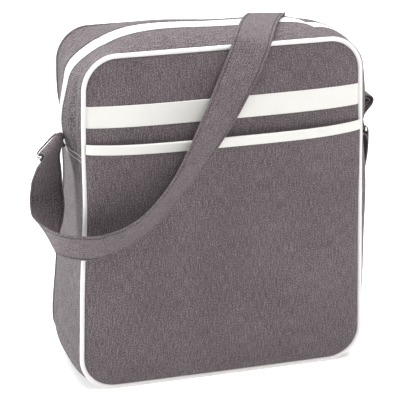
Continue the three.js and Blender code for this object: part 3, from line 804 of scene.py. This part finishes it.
crossStitch = {
    "belowSeam": (1.4, 7.6), "reach": 60, "steps": 240, "over": 0.05, "radius": 0.42, "pitch": 3.0,
}


def crossLine(side, below):
    # a level line across the gusset under its cross seam
    y = np.linspace(-crossStitch["reach"], crossStitch["reach"], crossStitch["steps"])
    run = np.full_like(y, runAtCross - below)
    sign = np.full_like(y, side)
    return skinLine(run, sign, y, gussetLift(run, sign, y) + crossStitch["over"])


crossLines = [crossLine(side, below) for side in (-1, 1) for below in crossStitch["belowSeam"]]
addStitches("crossSeamStitches", crossLines, whiteThread, "white_trim", crossStitch["radius"],
            crossStitch["pitch"])
print("gusset and zip made")


slider = {
    "start": 44, "points": 16, "steps": 90, "squarePower": 0.45,
    # along, half width, foot, top
    "rows": [
        (-6.5, 3.6, 1.3, 2.6), (-6, 4.7, 1.1, 3.6), (-4, 5, 1.05, 4.6), (0, 4.8, 1.05, 4.9),
        (4, 4.5, 1.05, 4.6), (6, 3.6, 1.2, 3.2), (6.6, 2.6, 1.5, 2.7), (9, 2.5, 1.5, 2.6),
        (14, 2.9, 1.5, 2.6), (26, 3.5, 1.5, 2.6), (30, 3.6, 1.5, 2.6), (31.5, 3.0, 1.5, 2.6),
        (32, 2.0, 1.7, 2.4),
    ],
}


def sliderSections():
    # ovals along the zip, squared off by taking their sines and cosines to a power below 1
    table = np.array(slider["rows"], float)
    fine = np.linspace(0, len(table) - 1, slider["steps"])
    at = np.arange(len(table))
    along, wide, foot, top = (np.interp(fine, at, table[:, k])[:, None] for k in range(4))
    a = circle(slider["points"])[None]
    square = lambda w: np.sign(w) * np.abs(w) ** slider["squarePower"]
    y = wide * square(np.cos(a))
    lift = (top + foot) / 2 + (top - foot) / 2 * square(np.sin(a))
    return skin(runAtCross + slider["start"] + along, np.ones_like(along), y, lift)


addTube("zipSliderMetal", sliderSections(), False, brightMetal, "bright_metal", "zip_slider")


rings = {
    "wire": 1.6, "sides": 14, "step": 0.9,
    "barShare": 0.96, "barPoints": 9, "bowPoints": 41, "bowFoot": 1.8, "bowPower": 0.3,
    "left": {"at": (-184.8, -33, 278.8), "along": (0.64, 0.73, 0.24), "bow": (-0.78, 0.62, 0.06),
             "bowDepth": 8.5, "low": -22.7, "high": 27.2, "lowBend": 0.5, "highBend": 0.45},
    "right": {"at": (180, -2, 260.5), "along": (0.03, 0.99, 0), "bow": (-0.2, 0, 0.98),
              "bowDepth": 11, "low": -22.6, "high": 22.6, "lowBend": 0.8, "highBend": 0.8},
}


def ringFrame(ring):
    # a place on the bar, the direction along it, and the bow's direction square to it
    at, along, bow = (np.array(ring[key], float) for key in ("at", "along", "bow"))
    along = unit(along)
    return at, along, unit(bow - along * np.dot(bow, along))


def onRing(ring, a, b):
    # points at distances along the bar and towards the bow
    at, along, bow = ringFrame(ring)
    return at + np.multiply.outer(a, along) + np.multiply.outer(b, bow)


def ringSections(ring):
    # wire along a straight bar and back over a low bow
    middle, reach = (ring["high"] + ring["low"]) / 2, (ring["high"] - ring["low"]) / 2
    bar = middle + reach * rings["barShare"] * np.linspace(-1, 1, rings["barPoints"])
    a = np.linspace(0, math.pi, rings["bowPoints"])
    bend = np.where(np.cos(a) > 0, ring["highBend"], ring["lowBend"])
    wide = middle + reach * np.sign(np.cos(a)) * np.abs(np.cos(a)) ** bend
    foot = rings["bowFoot"]
    high = foot + (ring["bowDepth"] - foot) * np.clip(np.sin(a), 0, 1) ** (rings["bowPower"] + bend / 2)
    loop = onRing(ring, np.concatenate([bar, wide]), np.concatenate([0 * bar, high]))
    loop = resample(throughPoints(np.vstack([loop, loop[:1]]), each=6), step=rings["step"])[0][:-1]
    ahead = unit(np.roll(loop, -1, 0) - np.roll(loop, 1, 0))
    along, bow = ringFrame(ring)[1:]
    flat = unit(np.cross(along, bow))
    out = np.cross(ahead, flat)
    angle = circle(rings["sides"])[None, :, None]
    return loop[:, None] + rings["wire"] * (np.cos(angle) * out[:, None] + np.sin(angle) * flat)


addTube("ringLeftWire", ringSections(rings["left"]), True, brightMetal, "bright_metal", "ring_left")
addTube("ringRightWire", ringSections(rings["right"]), True, brightMetal, "bright_metal", "ring_right")


band = {
    "arcStart": 0.94, "arcPoints": 5, "rimPoints": 10, "middlePoints": 9,
    "pastGroove": 1.6, "grooveSpread": 0.75, "edgeRoom": 0.01,
}


def bandProfile(width, thick, groove, edgeIn):
    # flat section with round edges and a bell shaped groove near each edge; upper side, then lower side
    arc = np.linspace(math.pi * band["arcStart"], math.pi / 2, band["arcPoints"])[:-1]
    edge = -width / 2 + thick / 2
    rimPart = np.linspace(0, edgeIn + band["pastGroove"], band["rimPoints"])
    a = np.concatenate([edge + thick / 2 * np.cos(arc), edge + rimPart])
    b = np.concatenate([thick / 2 * np.sin(arc), np.full(len(rimPart), thick / 2)])
    centre = np.linspace(a[-1], -a[-1], band["middlePoints"])[1:-1]
    a = np.concatenate([a, centre, -a[::-1]])
    b = np.concatenate([b, np.full(len(centre), thick / 2), b[::-1]])
    place = np.abs(a) - (width / 2 - edgeIn)
    flat = np.abs(a) < width / 2 - thick / 2 - band["edgeRoom"]
    b = b - groove * bump(place, 0, band["grooveSpread"]) * flat
    return np.concatenate([np.stack([a, b], -1), np.stack([a, -b], -1)[::-1]])


def bandSections(path, across, profile):
    # the section carried along a line, its width held to the direction given
    ahead = unit(np.gradient(path, axis=0))
    wide = unit(across - ahead * np.sum(across * ahead, -1, keepdims=True))
    out = np.cross(ahead, wide)
    sections = path[:, None] + profile[None, :, :1] * wide[:, None] + profile[None, :, 1:] * out[:, None]
    return sections, wide, out


tabs = {
    "thick": 1.6, "step": 0.8, "apart": 0.2, "partFrom": 0.35, "partOver": 0.55,
    "left": {"width": 3.6, "slack": 0.85, "groove": 0, "edgeIn": 0.6},
    "right": {"width": 20, "slack": 0.95, "groove": 0.2, "edgeIn": 1.8},
    # run past the cross seam, depth place, lift off the gusset
    "leftPath": [(-1, -13, 2.6), (5, -14.5, 5.2)], "leftEnd": 23.3,
    # outward, up from the right ring's bar
    "archRise": [
        (-12.9, 7.5), (-12, 15.5), (-10.8, 23.5), (-7.4, 29.6), (-1.5, 33.8),
        (5.3, 35.3), (10.2, 32.4), (8.6, 27.4), (3.6, 22.1), (-0.7, 16.5),
    ],
}


def tabPath(line, across, slack):
    # doubled tape: one leg beside the line, a half turn round the wire at its end, and the other leg back
    fine = resample(throughPoints(np.array(line, float), each=10), step=tabs["step"])[0]
    ahead = unit(np.gradient(fine, axis=0))
    side = unit(np.cross(np.broadcast_to(across, ahead.shape), ahead))
    radius = rings["wire"] + slack + tabs["thick"] / 2
    close = tabs["thick"] / 2 + tabs["apart"]
    t = np.linspace(0, 1, len(fine))[:, None]
    spread = close + (radius - close) * ease((t - tabs["partFrom"]) / tabs["partOver"])
    turn = np.linspace(0, math.pi, 15)[1:-1, None]
    bend = fine[-1] + radius * (np.cos(turn) * side[-1] + np.sin(turn) * ahead[-1])
    return np.vstack([fine + side * spread, bend, (fine - side * spread)[::-1]])


def addTab(name, line, across, side, node):
    # a doubled tape along a line, its width held to the direction given
    path = tabPath(line, across, side["slack"])
    profile = bandProfile(side["width"], tabs["thick"], side["groove"], side["edgeIn"])
    sections = bandSections(path, np.broadcast_to(across, path.shape), profile)[0]
    addTube(name, sections, False, canvas, "canvas", node)


leftLegs = [skin(runAtCross + past, -1, at, off) for past, at, off in tabs["leftPath"]]
leftLegs.append(onRing(rings["left"], tabs["leftEnd"], 0))
addTab("tabLeftCloth", leftLegs, ringFrame(rings["left"])[1], tabs["left"], "tab_left")

rightAt, rightAlong = ringFrame(rings["right"])[:2]
outward = unit(np.cross(rightAlong, [0, 0, 1]))
outward = outward * np.sign(outward[0])
arch = [rightAt + outward * out + np.array([0, 0, up]) for out, up in tabs["archRise"]]
arch.append(onRing(rings["right"], 0, rings["right"]["bowDepth"]))
addTab("tabRightCloth", arch, rightAlong, tabs["right"], "tab_right")
print("rings and tabs made")


strap = {
    "width": 40, "thick": 2.2, "slack": 0.875, "edgeIn": 3.1, "groove": 0.9, "step": 2.0, "each": 12,
    # length of the sewn end, its marks as shares of that, and how they close in on the strap
    "tail": 13, "tailShares": (1, 0.55, 0.25), "tailEnd": 0.4, "tailMiddle": 0.8, "tailFoot": 0.75,
    "stitchOver": 0.12, "stitchRadius": 0.42,
    # x, y, z, then the direction from the outer to the inner edge
    "route": [
        (-185.7, -22, 257.2, 0.72, 0.69, -0.09), (-186, -15, 240.6, 0.89, 0.45, -0.06),
        (-185.8, -10, 222, 0.955, 0.28, -0.09), (-186.4, -15, 206, 0.91, -0.06, -0.38),
        (-191.7, -33, 190.8, 0.63, -0.18, -0.75), (-193.5, -54, 183.2, 0.42, 0.07, -0.90),
        (-184, -74, 181.8, 0.30, 0.38, -0.87), (-163, -87, 180.5, 0.16, 0.46, -0.88),
        (-144.6, -93.4, 182.8, 0.22, 0.50, -0.82), (-118.5, -95, 191, 0.40, 0.58, -0.71),
        (-91.5, -96.9, 209, 0.47, 0.65, -0.60), (-60.5, -100.3, 246, 0.55, 0.64, -0.54),
        (-37.3, -99.5, 280.1, 0.695, 0.45, -0.56), (-17.9, -95, 311.2, 0.82, 0.25, -0.51),
        (0.5, -85.3, 338, 0.88, 0.03, -0.475), (19.5, -78, 372.6, 0.89, -0.20, -0.41),
        (27, -71.5, 385.5, 0.93, -0.22, -0.27), (36.5, -54, 391.7, 0.96, -0.25, -0.14),
        (49, -27, 393.9, 0.95, -0.30, -0.08), (62.5, 0, 394.2, 0.94, -0.33, -0.04),
        (76.5, 26, 390.7, 0.95, -0.30, 0.00), (85.5, 48, 384.3, 0.96, -0.24, 0.04),
        (91.5, 65, 377.4, 0.98, -0.15, 0.08), (95.5, 76.5, 365.5, 0.99, -0.05, 0.08),
        (97.5, 81, 345, 0.99, 0.00, 0.10), (99.5, 85, 312, 0.99, 0.00, 0.11),
        (104, 89, 276, 0.99, 0.00, 0.14), (110, 92, 242, 0.97, 0.00, 0.22),
        (118, 93, 215, 0.90, 0.04, 0.42), (129, 93, 194, 0.76, 0.08, 0.64),
        (143, 90, 180, 0.52, 0.10, 0.85), (158, 83.5, 173, 0.22, 0.12, 0.96),
        (172, 71, 171, 0.02, 0.08, 1.00), (180, 52, 175, -0.04, 0.26, 0.96),
        (182, 32, 185, -0.05, 0.50, 0.86), (182.5, 15, 201, -0.05, 0.75, 0.65),
        (183, 4, 221, -0.04, 0.93, 0.35), (184, -1, 241, 0.00, 0.99, 0.10),
    ],
}


def barTurn(ring, target):
    # the strap's end: a tail stitched down, a half turn round the bar, then away towards the route
    at, along = ringFrame(ring)[:2]
    away = target - at
    away = unit(away - along * np.dot(away, along))
    face = unit(np.cross(along, away))
    face = face * (-1 if face[1] > 0 else 1)
    radius = rings["wire"] + strap["slack"] + strap["thick"] / 2
    gap = radius - strap["thick"]
    turn = np.linspace(0, math.pi, 9)
    tail = [gap - strap["tailEnd"], gap - strap["tailMiddle"], -radius * strap["tailFoot"]]
    on = np.concatenate([strap["tail"] * np.array(strap["tailShares"]), -radius * np.sin(turn)])
    side = np.concatenate([tail, -radius * np.cos(turn)])
    return at + on[:, None] * away + side[:, None] * face, np.broadcast_to(along, (len(on), 3))


def strapPath():
    # a curve from ring to ring through the marks of the route, with the direction across the strap
    table = np.array(strap["route"], float)
    leftEnd, leftAcross = barTurn(rings["left"], table[0, :3])
    rightEnd, rightAcross = barTurn(rings["right"], table[-1, :3])
    marks = np.vstack([leftEnd, table[:, :3], rightEnd[::-1]])
    lay = np.vstack([leftAcross, unit(table[:, 3:]), rightAcross])
    each = strap["each"]
    return resample(throughPoints(marks, each), throughPoints(lay, each, power=0), step=strap["step"])


path, across = strapPath()
profile = bandProfile(strap["width"], strap["thick"], strap["groove"], strap["edgeIn"])
sections, wide, out = bandSections(path, across, profile)
# the strap wears the lighter canvas, which is painted light
addTube("shoulderStrapBand", sections, False, litStrapCanvas, "strap_canvas", "strap")
inGroove = strap["thick"] / 2 - strap["groove"] + strap["stitchOver"]
stitchRows = []
for place in (-1, 1):
    for face in (-1, 1):
        offset = place * (strap["width"] / 2 - strap["edgeIn"])
        line = path + wide * offset + out * face * inGroove
        stitchRows.append((line, out * face))
addStitches("strapStitches", stitchRows, greyThread, "strap_canvas", strap["stitchRadius"])
print("strap made,", round(lengths(path)[-1]), "mm along its middle")


studio = {
    "target": (-8.4, 0, 188.2), "azimuth": -16.7, "elevation": 20.3, "distance": 2025,
    "lens": 162, "sensor": 36, "sight": 60,
    "floorSide": 14, "floorTone": 0.92, "floorRough": 0.9, "floorShine": 0.1, "floorGlow": 0.42,
    "sky": 0.05,
    # name, place and aim in metres, side of its square in metres, power in watts, colour
    "lights": [
        ("topLight", (0.05, -0.3, 1.7), (0, 0, 0.2), 1.3, 22, (1, 1, 1)),
        ("leftLight", (-2.3, 0.2, 1.0), (0, 0, 0.2), 1.8, 49, (0.95, 1, 1)),
        ("frontLight", (0.4, -1.6, 1.9), (0, 0, 0.2), 0.8, 23, (1, 1, 1)),
        ("rightLight", (2.2, -1.1, 0.35), (0, 0, 0.2), 0.6, 8, (1, 0.98, 0.99)),
        ("floorLight", (0, 3.0, 2.6), (0, 2.4, 0), 3.0, 210, (1, 1, 1)),
    ],
}


def addCamera():
    # a camera at a distance from its target, by angles round and above it
    a, e = math.radians(studio["azimuth"]), math.radians(studio["elevation"])
    target = Vector(studio["target"]) * toMetres
    way = Vector((math.sin(a) * math.cos(e), -math.cos(a) * math.cos(e), math.sin(e)))
    lens = bpy.data.cameras.new("photoLens")
    lens.lens, lens.sensor_width, lens.clip_end = studio["lens"], studio["sensor"], studio["sight"]
    camera = bpy.data.objects.new("photoCamera", lens)
    camera.location = target + way * studio["distance"] * toMetres
    camera.rotation_euler = (-way).to_track_quat("-Z", "Y").to_euler()
    scene.collection.objects.link(camera)
    scene.camera = camera


def addStudio():
    # a pale, faintly glowing floor, soft square lights and an even sky
    side, tone = studio["floorSide"], studio["floorTone"]
    mesh = bpy.data.meshes.new("paleFloor")
    corners = [(-side, -side, 0), (side, -side, 0), (side, side, 0), (-side, side, 0)]
    mesh.from_pydata(corners, [], [(0, 1, 2, 3)])
    floor = bpy.data.objects.new("paleFloor", mesh)
    finish, _, shader = newFinish("paleFloorPaint")
    setInputs(shader, {"Base Color": (tone, tone, tone, 1), "Roughness": studio["floorRough"],
                       "Emission Color": (1, 1, 1, 1), "Emission Strength": studio["floorGlow"],
                       "Specular IOR Level": studio["floorShine"]})
    mesh.materials.append(finish)
    scene.collection.objects.link(floor)
    for name, place, aim, size, power, colour in studio["lights"]:
        light = bpy.data.lights.new(name, "AREA")
        light.size, light.energy, light.color = size, power, colour
        lamp = bpy.data.objects.new(name, light)
        lamp.location = place
        lamp.rotation_euler = (Vector(aim) - Vector(place)).to_track_quat("-Z", "Y").to_euler()
        scene.collection.objects.link(lamp)
    sky = bpy.data.worlds.new("softSky")
    sky.use_nodes = True
    setInputs(sky.node_tree.nodes["Background"], {"Color": (1, 1, 1, 1), "Strength": studio["sky"]})
    scene.world = sky
    scene.view_settings.view_transform = "Standard"


addCamera()
addStudio()
print("studio set")
